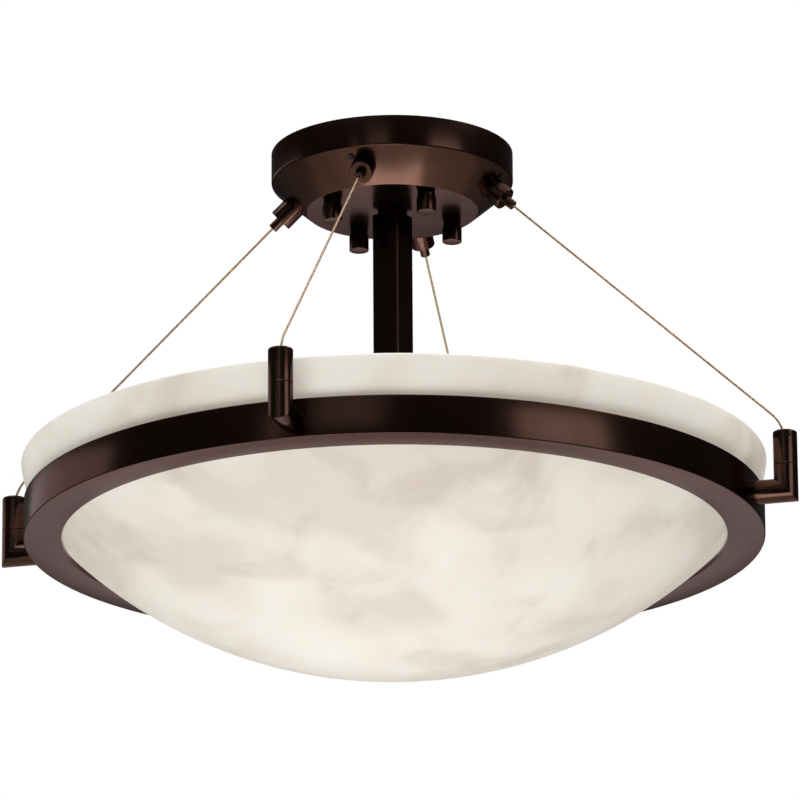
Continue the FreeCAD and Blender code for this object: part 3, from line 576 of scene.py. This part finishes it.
def bowl():
    """Stone bowl: a dome, a shoulder that turns up, and a softly rounded rim."""
    dome_z = bowl_bottom_z + bowl_dome_radius
    shoulder_r = bowl_widest_radius - bowl_shoulder_radius
    blend = math.asin(shoulder_r / (bowl_dome_radius - bowl_shoulder_radius))
    shoulder_z = dome_z - (bowl_dome_radius - bowl_shoulder_radius) * math.cos(blend)
    soft = 1.5 * MM
    dome_steps, shoulder_steps, rim_steps = 40, 16, 6

    def skin(depth):
        """Points from the bottom up to the rim, at a depth under the outside."""
        points = []
        for k in range(dome_steps + 1):
            a = blend * k / dome_steps
            r = bowl_dome_radius - depth
            points.append((r * math.sin(a), dome_z - r * math.cos(a)))
        r = bowl_shoulder_radius - depth
        top = math.asin((bowl_rim_z - soft - shoulder_z) / r)
        start = blend - math.pi / 2
        for k in range(1, shoulder_steps + 1):
            a = start + (top - start) * k / shoulder_steps
            points.append((shoulder_r + r * math.cos(a), shoulder_z + r * math.sin(a)))
        return points

    outside, inside = skin(0), skin(bowl_wall)
    rim = []
    for k in range(1, rim_steps):
        a = math.pi / 2 * k / rim_steps
        rim.append((outside[-1][0] - soft + soft * math.cos(a), bowl_rim_z - soft + soft * math.sin(a)))
    for k in range(rim_steps):
        a = math.pi / 2 * k / rim_steps
        rim.append((inside[-1][0] + soft - soft * math.sin(a), bowl_rim_z - soft + soft * math.cos(a)))
    bm = lathe(outside + rim + list(reversed(inside)), segments=224, closed=False)
    finished("bowl_stone", bm, "alabaster", "bowl", ["bowl"], smooth=60)


def post(side, azimuth):
    """Mitred elbow of round bar and the screwed cap on it."""
    segments = 56
    let_in, groove = 1.5 * MM, 0.35 * MM
    mitre_turn, mitre_soft, mitre_steps = math.radians(12), 0.5 * MM, 3
    start = ring_radius - let_in
    seam = post_seam_z

    def loop(radius, place):
        """place takes the height and side offsets of a point on the bar to its position."""
        angles = [math.tau * k / segments for k in range(segments)]
        return [place(radius * math.cos(a), radius * math.sin(a)) for a in angles]

    bm = bmesh.new()
    loft(bm, [
        loop(post_radius, lambda h, s: Vector((start, s, arm_z + h))),
        loop(post_radius, lambda h, s: Vector((post_place - h, s, arm_z + h))),
        loop(post_radius, lambda h, s: Vector((post_place - h, s, seam - groove))),
        loop(post_radius - groove, lambda h, s: Vector((post_place - h, s, seam)))])
    mitre = [e for e in bm.edges if e.is_manifold and e.calc_face_angle(0) > mitre_turn
             and all(abs(v.co.x - post_place + v.co.z - arm_z) < NEAR for v in e.verts)]
    bmesh.ops.bevel(bm, geom=mitre, offset=mitre_soft, segments=mitre_steps, profile=0.5,
                    affect="EDGES", material=-1)
    move(bm, turn(azimuth))
    finished(f"post_elbow_{side}_bent", bm, "dark_bronze", "fixture", [f"post_elbow_{side}"])

    hole, mouth, mouth_depth, hole_depth = 1.3 * MM, 2.6 * MM, 4.5 * MM, 10.0 * MM
    top_soft, mouth_soft = 1.2 * MM, 0.2 * MM
    floor = post_top_z - hole_depth
    outline = [(0, seam, 0), (post_radius - groove, seam, 0), (post_radius, seam + groove, 0),
               (post_radius, post_top_z, top_soft), (mouth, post_top_z, mouth_soft),
               (hole, post_top_z - mouth_depth, 0), (hole, floor, 0), (0, floor, 0)]
    bm = lathe(rounded(outline), segments=72, closed=False)
    move(bm, Matrix.Translation((post_place, 0, 0)), turn(azimuth))
    cap = finished(f"post_cap_{side}_turned", bm, "dark_bronze", "fixture", [f"post_cap_{side}"])
    screw, screw_sunk, screw_below_top, cutter_length = 1.25 * MM, 1.5 * MM, 4.0 * MM, 4 * MM
    angle = math.radians(CAP_SCREWS[side])
    out = Vector((math.cos(angle), math.sin(angle), 0))
    screw_floor = Vector((post_place, 0, post_top_z - screw_below_top)) + out * (post_radius - screw_sunk)
    carve(cap, move(rod(screw, cutter_length), aim(screw_floor, out), turn(azimuth)))


# ---------------------------------------------------------------- cables
def smooth_line(points):
    """Points along the smooth curve that a route's points control."""
    curve = bpy.data.curves.new("route", "CURVE")
    curve.dimensions = "3D"
    curve.resolution_u = 40
    spline = curve.splines.new("NURBS")
    spline.points.add(len(points) - 1)
    for point, place in zip(spline.points, points):
        point.co = (*place, 1)
    spline.order_u = 3
    spline.use_endpoint_u = True
    holder = bpy.data.objects.new("route", curve)
    bpy.context.scene.collection.objects.link(holder)
    bpy.context.view_layer.update()
    graph = bpy.context.evaluated_depsgraph_get()
    mesh = bpy.data.meshes.new_from_object(holder.evaluated_get(graph))
    line = [v.co.copy() for v in mesh.vertices]
    bpy.data.meshes.remove(mesh)
    bpy.data.objects.remove(holder)
    bpy.data.curves.remove(curve)
    return line


def evenly(line, step):
    """Points at an even step along a line of points."""
    lengths = [0.0]
    for a, b in zip(line, line[1:]):
        lengths.append(lengths[-1] + (b - a).length)
    count = round(lengths[-1] / step)
    spaced = []
    k = 0
    for s in range(count + 1):
        want = lengths[-1] * s / count
        while k < len(line) - 2 and lengths[k + 1] < want:
            k += 1
        part = (want - lengths[k]) / (lengths[k + 1] - lengths[k])
        spaced.append(line[k].lerp(line[k + 1], part))
    return spaced, lengths[-1]


def cable(side, azimuth):
    """Wire rope: six wires twisted round a core along the route."""
    turned = turn(azimuth)
    route = [turned @ Vector(p) for p in CABLE_ROUTE]
    step, lay_length = 0.9 * MM, 9.5 * MM
    wires, wire_corners, core_corners = 6, 6, 5
    wire = cable_radius * 0.36
    line, length = evenly(smooth_line(route), step)
    flat = turned.to_3x3() @ Vector((0, 1, 0))
    bm = bmesh.new()

    def frame_at(k):
        """Two directions across the cable at a point of its line."""
        ahead = line[min(k + 1, len(line) - 1)]
        behind = line[max(k - 1, 0)]
        along = (ahead - behind).normalized()
        return flat, along.cross(flat).normalized()

    def strand(offset, phase, corners):
        """One wire that winds round the line at an offset, starting at a phase."""
        loops = []
        for k, centre in enumerate(line):
            first, second = frame_at(k)
            a = phase + math.tau * (length * k / (len(line) - 1)) / lay_length
            middle = centre + (first * math.cos(a) + second * math.sin(a)) * offset
            loops.append([middle + (first * math.cos(t) + second * math.sin(t)) * wire
                          for t in (math.tau * c / corners for c in range(corners))])
        loft(bm, loops)

    strand(0, 0, core_corners)
    for k in range(wires):
        strand(cable_radius - wire, math.tau * k / wires, wire_corners)
    piece = finished(f"wire_rope_{side}", bm, "steel_cable", "fixture", [f"cable_{side}"], smooth=80)


# ---------------------------------------------------------------- lamp cluster
def hub():
    """Drawn cup that carries the three sockets, open below."""
    top, bottom = high("lamp_hub_cup").z, low("lamp_hub_cup").z
    wall, bore = 1.5 * MM, 5.1 * MM
    top_soft, rim_soft, inside_soft = 3.0 * MM, 0.2 * MM, 1.5 * MM
    outline = [(bore, top, 0), (hub_radius, top, top_soft), (hub_radius, bottom, rim_soft),
               (hub_radius - wall, bottom, 0), (hub_radius - wall, top - wall, inside_soft),
               (bore, top - wall, 0)]
    finished("lamp_cup_drawn", lathe(rounded(outline)), "dark_bronze", "fixture", ["lamp_hub_cup"])


def socket(place, azimuth):
    """Glazed socket: a narrow root in the cup, a wider body, a lip and the mouth for the cap."""
    root, neck, neck_end, neck_soft = -2 * MM, 13 * MM, 7 * MM, 2 * MM
    radius, body_start, body_soft = 18.0 * MM, 12 * MM, 2.5 * MM
    length, lip, lip_height = 44.0 * MM, 20.0 * MM, 4 * MM
    lip_soft, rim_soft, mouth_soft = 0.6 * MM, 1.2 * MM, 0.8 * MM
    mouth, seat = 13.3 * MM, 19.0 * MM
    lip_start = length - lip_height
    outline = [(0, root, 0), (neck, root, 0), (neck, neck_end, neck_soft), (radius, body_start, body_soft),
               (radius, lip_start, lip_soft), (lip, lip_start, lip_soft), (lip, length, rim_soft),
               (mouth, length, mouth_soft), (mouth, seat, 0), (0, seat, 0)]
    bm = lathe(rounded(outline, steps=4), segments=72, closed=False)
    move(bm, aim(Vector((socket_start, 0, lamp_z)), LAMP_AXIS), turn(azimuth))
    finished(f"socket_{place}_glazed", bm, "porcelain", "fixture", [f"lamp_socket_{place}"])


def bulb(place, azimuth):
    """Pear-shaped frosted bulb with a rolled screw cap."""
    radius, neck, neck_length, centre = 30 * MM, 14.5 * MM, 8 * MM, 52 * MM
    reach = Vector((neck, neck_length - centre))
    touch = math.atan2(reach.y, reach.x) + math.acos(radius / reach.length)
    foot_radius, foot_height, globe_steps = neck * 0.9, neck * 0.1, 32
    outline = [(0, 0), (foot_radius, 0), (neck, foot_height), (neck, neck_length)]
    for k in range(globe_steps + 1):
        a = touch + (math.pi / 2 - touch) * k / globe_steps
        outline.append((max(radius * math.cos(a), 0), centre + radius * math.sin(a)))
    lay = aim(Vector((bulb_start, 0, lamp_z)), LAMP_AXIS)
    bm = move(lathe(outline, closed=False), lay, turn(azimuth))
    finished(f"bulb_{place}_envelope", bm, "bulb_glass", f"bulb_{place}", [f"bulb_glass_{place}"], smooth=50)
    base, crests, crest_steps, crest_depth = 13.1 * MM, 5, 6, 0.35 * MM
    thread_length = 23 * MM
    pitch = thread_length / (crests + 1)
    # the contact ends 0.1 mm short of the socket's seat
    contact, tip, shell, shell_end = 5 * MM, -25.9 * MM, 10.1 * MM, -24 * MM
    outline = [(0, tip), (contact, tip), (contact, shell_end), (shell, shell_end)]
    for k in range(crests * crest_steps):
        z = -thread_length + pitch * k / crest_steps
        wave = 0.5 + 0.5 * math.cos(math.tau * k / crest_steps)
        outline.append((base - crest_depth * wave, z))
    outline += [(base, -thread_length + pitch * crests), (base, 0), (0, 0)]
    bm = move(lathe(outline, segments=72, closed=False), lay, turn(azimuth))
    finished(f"bulb_{place}_cap", bm, "bulb_metal", f"bulb_{place}", [f"bulb_base_{place}"], smooth=50)


# ---------------------------------------------------------------- studio
CAMERA_AZIMUTH = 15.49
CAMERA_ELEVATION = -17.66
CAMERA_DISTANCE = 4.6412
CAMERA_ROLL = 0.359
CAMERA_LENS = 313.52
LOOK_AT = Vector((0, 0, -0.14305))
LOOK_RIGHT = 0.004286
LOOK_UP = -0.027963


def camera():
    """Camera at the photograph's angle, fitted to edges measured in it."""
    a, e = math.radians(CAMERA_AZIMUTH), math.radians(CAMERA_ELEVATION)
    towards = Vector((math.sin(a) * math.cos(e), -math.cos(a) * math.cos(e), math.sin(e)))
    right = Vector((math.cos(a), math.sin(a), 0))
    up = towards.cross(right)
    place = LOOK_AT + towards * CAMERA_DISTANCE
    aim_at = LOOK_AT + right * LOOK_RIGHT + up * LOOK_UP
    back = (place - aim_at).normalized()
    right = (right - back * right.dot(back)).normalized()
    up = back.cross(right)
    roll = math.radians(CAMERA_ROLL)
    right, up = right * math.cos(roll) - up * math.sin(roll), up * math.cos(roll) + right * math.sin(roll)
    data = bpy.data.cameras.new("camera")
    data.lens = CAMERA_LENS
    data.sensor_width = 36
    data.clip_end = 50
    obj = bpy.data.objects.new("camera", data)
    axes = Matrix((right, up, back)).transposed().to_4x4()
    obj.matrix_world = Matrix.Translation(place) @ axes
    bpy.context.scene.collection.objects.link(obj)
    bpy.context.scene.camera = obj


def lamp(name, azimuth, elevation, distance, size, power, middle=(0, 0, -0.2)):
    """Soft rectangular lamp that faces a middle point.

    Its azimuth is counted from the camera's, in degrees; the power is in watts.
    """
    a, e = math.radians(CAMERA_AZIMUTH + azimuth), math.radians(elevation)
    towards = Vector((math.sin(a) * math.cos(e), -math.cos(a) * math.cos(e), math.sin(e)))
    data = bpy.data.lights.new(name, "AREA")
    data.shape = "RECTANGLE"
    data.size, data.size_y = size
    data.energy = power
    obj = bpy.data.objects.new(name, data)
    obj.visible_camera = False
    obj.matrix_world = aim(Vector(middle) + towards * distance, towards)
    bpy.context.scene.collection.objects.link(obj)


def studio():
    """White backdrop for the camera, a dark room with a pale floor behind, and soft lamps."""
    world = bpy.data.worlds.new("studio")
    bpy.context.scene.world = world
    world.use_nodes = True
    nodes, links = world.node_tree.nodes, world.node_tree.links
    nodes.clear()
    output = nodes.new("ShaderNodeOutputWorld")
    mixer = nodes.new("ShaderNodeMixShader")
    links.new(mixer.outputs[0], output.inputs[0])
    seen = nodes.new("ShaderNodeLightPath")
    links.new(seen.outputs["Is Camera Ray"], mixer.inputs[0])
    white = nodes.new("ShaderNodeBackground")
    white.inputs[0].default_value = (1, 1, 1, 1)
    room = nodes.new("ShaderNodeBackground")
    links.new(room.outputs[0], mixer.inputs[1])
    links.new(white.outputs[0], mixer.inputs[2])
    direction = nodes.new("ShaderNodeTexCoord")

    def glow(towards, dim, bright, colour):
        """Light that grows as a ray turns towards a direction, from dim to bright cosines."""
        dot = nodes.new("ShaderNodeVectorMath")
        dot.operation = "DOT_PRODUCT"
        dot.inputs[1].default_value = Vector(towards).normalized()
        links.new(direction.outputs["Generated"], dot.inputs[0])
        ramp = nodes.new("ShaderNodeMapRange")
        ramp.interpolation_type = "SMOOTHSTEP"
        ramp.inputs["From Min"].default_value = dim
        ramp.inputs["From Max"].default_value = bright
        links.new(dot.outputs["Value"], ramp.inputs["Value"])
        tint = nodes.new("ShaderNodeVectorMath")
        tint.operation = "SCALE"
        tint.inputs[0].default_value = colour
        links.new(ramp.outputs[0], tint.inputs["Scale"])
        return tint.outputs[0]

    def add(first, second):
        """Sum of two colours, each a socket or a plain value."""
        total = nodes.new("ShaderNodeVectorMath")
        total.operation = "ADD"
        for value, socket in ((first, total.inputs[0]), (second, total.inputs[1])):
            if isinstance(value, bpy.types.NodeSocket):
                links.new(value, socket)
            else:
                socket.default_value = value
        return total.outputs[0]

    a = math.radians(CAMERA_AZIMUTH)
    floor_way = (-math.sin(a), math.cos(a), -1.7)
    floor = glow(floor_way, dim=0.5, bright=1.0, colour=(0.68, 0.66, 0.645))
    ceiling = glow((0, 0, 1), dim=0.45, bright=0.85, colour=(0.85, 0.86, 0.88))
    walls = (0.055, 0.055, 0.055)
    links.new(add(add(floor, ceiling), walls), room.inputs[0])
    lamp("right_panel", 51, 12, 3.0, (1.5, 0.9), 8.0)
    lamp("right_fill", 88, 46, 3.2, (1.2, 1.0), 50)
    lamp("left_fill", -80, 50, 3.2, (1.2, 1.0), 11)
    lamp("below", -12, -52, 3.0, (2.2, 2.2), 49)
    lamp("front", -30, 50, 3.2, (1.8, 1.2), 16)
    lamp("low_back", 180, -27.5, 1.69, (0.9, 0.64), 1.3)
    lamp("left_panel", -121, 8.5, 3.0, (3.0, 1.1), 10.5)
    lamp("centre_panel", -13, 17, 3.0, (1.0, 0.8), 1.2)
    lamp("strip", -35, 11, 3.0, (0.12, 0.9), 0.5)
    lamp("cluster", 0, -84, 0.17, (0.15, 0.15), 0.28, (0, 0, -0.04))


# ---------------------------------------------------------------- everything
def build():
    """Makes every piece, then the camera and the studio."""
    dress_nodes()
    canopy()
    stem()
    for corner, azimuth in CORNERS.items():
        thumb_nut(corner, azimuth)
    for side, azimuth in SIDES.items():
        grip(side, azimuth)
        post(side, azimuth)
        cable(side, azimuth)
    ring()
    bowl()
    hub()
    for place, azimuth in LAMPS.items():
        socket(place, azimuth)
        bulb(place, azimuth)
    camera()
    studio()
    bpy.context.scene.view_settings.view_transform = "Standard"


build()
